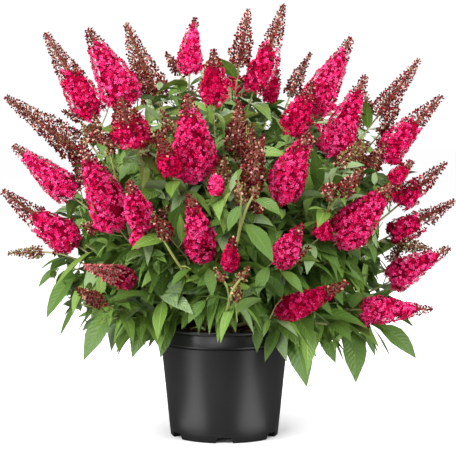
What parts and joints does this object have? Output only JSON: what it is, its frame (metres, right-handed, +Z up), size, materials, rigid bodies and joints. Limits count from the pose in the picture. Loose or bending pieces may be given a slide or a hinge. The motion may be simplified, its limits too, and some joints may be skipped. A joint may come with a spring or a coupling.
{
  "type": "potted butterfly bush",
  "caption": "Flowering butterfly bush in a round plastic nursery pot, with arching leafy shoots that end in long crimson flower heads.",
  "frame": {"origin": "middle of the pot's underside, on the ground", "axes": "+Z up the plant; -Y towards the front of the bush; +X to its right as seen from the front"},
  "size_m": [0.9816, 0.9574, 0.9271],
  "materials": {
    "pot_plastic": "satin charcoal, moulded",
    "bark_mix": "rough reddish-brown bark chips",
    "bark": "rough grey-brown bark",
    "green_cane": "matte olive-green young stems",
    "foliage": "matte green leaves with crimson flower heads"
  },
  "bodies": {
    "root": {"bark_mix": "bark_mix", "cane_back_crest": "green_cane", "cane_back_left": "green_cane", "cane_back_lower_left": "green_cane", "cane_back_lower_right": "green_cane", "cane_back_middle": "green_cane", "cane_back_right": "green_cane", "cane_back_upper_left": "green_cane", "cane_back_upper_right": "green_cane", "cane_front_crest": "green_cane", "cane_front_left": "green_cane", "cane_front_lower_left": "green_cane", "cane_front_lower_right": "green_cane", "cane_front_middle": "green_cane", "cane_front_right": "green_cane", "cane_front_upper_left": "green_cane", "cane_front_upper_right": "green_cane", "cane_left_high": "green_cane", "cane_left_low": "green_cane", "cane_left_mid": "green_cane", "cane_left_top": "green_cane", "cane_right_crest": "green_cane", "cane_right_high": "green_cane", "cane_right_low": "green_cane", "cane_right_mid": "green_cane", "cane_right_top": "green_cane", "cane_top": "green_cane", "mass_back_crest": "foliage", "mass_back_left": "foliage", "mass_back_lower_left": "foliage", "mass_back_lower_right": "foliage", "mass_back_middle": "foliage", "mass_back_right": "foliage", "mass_back_upper_left": "foliage", "mass_back_upper_right": "foliage", "mass_front_crest": "foliage", "mass_front_left": "foliage", "mass_front_lower_left": "foliage", "mass_front_lower_right": "foliage", "mass_front_middle": "foliage", "mass_front_right": "foliage", "mass_front_upper_left": "foliage", "mass_front_upper_right": "foliage", "mass_left_high": "foliage", "mass_left_low": "foliage", "mass_left_mid": "foliage", "mass_left_top": "foliage", "mass_right_crest": "foliage", "mass_right_high": "foliage", "mass_right_low": "foliage", "mass_right_mid": "foliage", "mass_right_top": "foliage", "mass_top": "foliage", "pot": "pot_plastic", "stem_base": "bark"}
  },
  "joints": []
}
